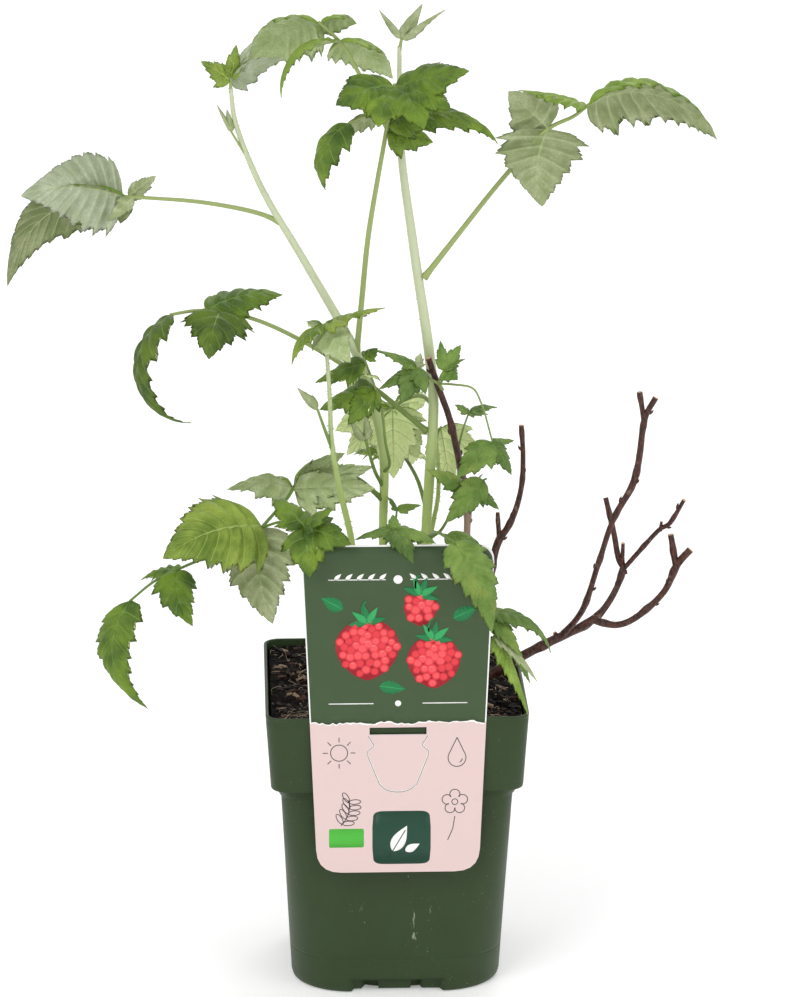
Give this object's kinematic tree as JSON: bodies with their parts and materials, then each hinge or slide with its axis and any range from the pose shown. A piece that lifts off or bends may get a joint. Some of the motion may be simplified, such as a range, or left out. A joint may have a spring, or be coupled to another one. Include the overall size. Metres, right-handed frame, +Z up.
{
  "type": "potted raspberry cane",
  "caption": "Young raspberry plant with green canes, compound leaves and cut-back brown canes in a square nursery pot of compost with a plain picture label.",
  "frame": {"origin": "centre of the pot's flat underside", "axes": "+Z up, -Y towards the side of the rim that the label hangs on, +X to the right of that side"},
  "size_m": [0.3503, 0.1682, 0.4911],
  "materials": {
    "pot": "satin",
    "soil": "matte",
    "label": "satin",
    "green_cane": "satin",
    "old_wood": "matte",
    "leaf_dark": "satin",
    "leaf_mid": "satin",
    "leaf_pale": "matte"
  },
  "bodies": {
    "root": {"pot": "pot", "soil": "soil", "label_card": "label", "left_cane": "green_cane", "right_cane": "green_cane", "thin_cane": "green_cane", "bristly_cane": "green_cane", "old_cane_centre": "old_wood", "old_cane_middle": "old_wood", "old_cane_right": "old_wood", "old_arm_right": "old_wood", "old_arm_middle": "old_wood", "old_twig_left": "old_wood", "old_twig_right": "old_wood", "old_arm_tall": "old_wood", "leaf_top_left": "leaf_pale", "leaf_top_centre": "leaf_dark", "leaf_far_left": "leaf_pale", "leaf_far_right": "leaf_pale", "leaf_mid_left": "leaf_dark", "leaves_low_left": "leaf_mid", "leaves_inner_left": "leaf_dark", "leaf_thin_cane_top": "leaf_mid", "shoot_thin_cane": "leaf_pale", "shoot_left_cane": "leaf_pale", "bud_left_cane": "leaf_pale", "tip_left_cane": "leaf_mid", "tip_right_cane": "leaf_pale", "leaf_back_centre": "leaf_pale", "leaf_back_right": "leaf_pale", "leaf_back_middle": "leaf_mid", "leaf_back_low_left": "leaf_mid", "leaf_back_low_right": "leaf_dark", "leaves_old_cane": "leaf_mid", "leaf_old_cane_small": "leaf_mid", "leaves_low_right": "leaf_mid", "leaves_over_label": "leaf_mid", "leaves_right_side": "leaf_mid", "young_sucker": "leaf_mid"}
  },
  "joints": []
}
